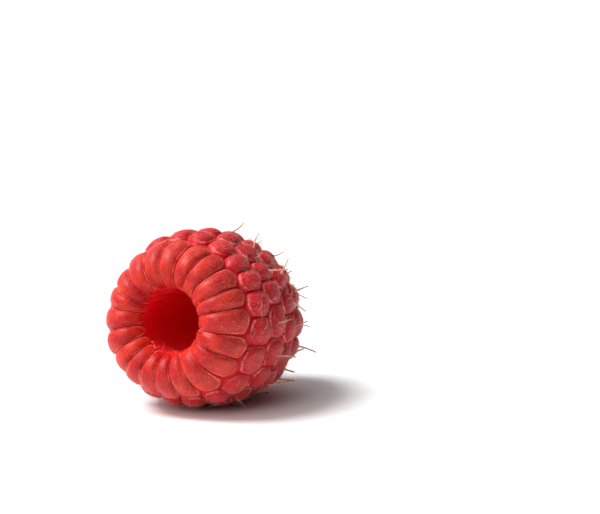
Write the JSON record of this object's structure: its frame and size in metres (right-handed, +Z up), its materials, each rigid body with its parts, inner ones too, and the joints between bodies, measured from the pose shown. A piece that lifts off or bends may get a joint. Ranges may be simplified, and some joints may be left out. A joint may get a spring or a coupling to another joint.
{
  "type": "raspberry",
  "caption": "Picked raspberry lying on its side: drupelets grown together in rows round a deep hollow, long drupelets round its open end, a blunt tip and small flats to rest on.",
  "frame": {"origin": "on the surface that the fruit rests on, under the middle of its bounding box", "axes": "+Z up from that surface; -Y towards the open end of the fruit, +Y towards its tip; the fruit's own axis lies over the Y axis and runs 8 degrees downhill to the tip"},
  "size_m": [0.0216, 0.0262, 0.0213],
  "materials": {
    "drupelets": "satin",
    "styles": "satin"
  },
  "bodies": {
    "root": {"raspberry": "drupelets"}
  },
  "joints": []
}
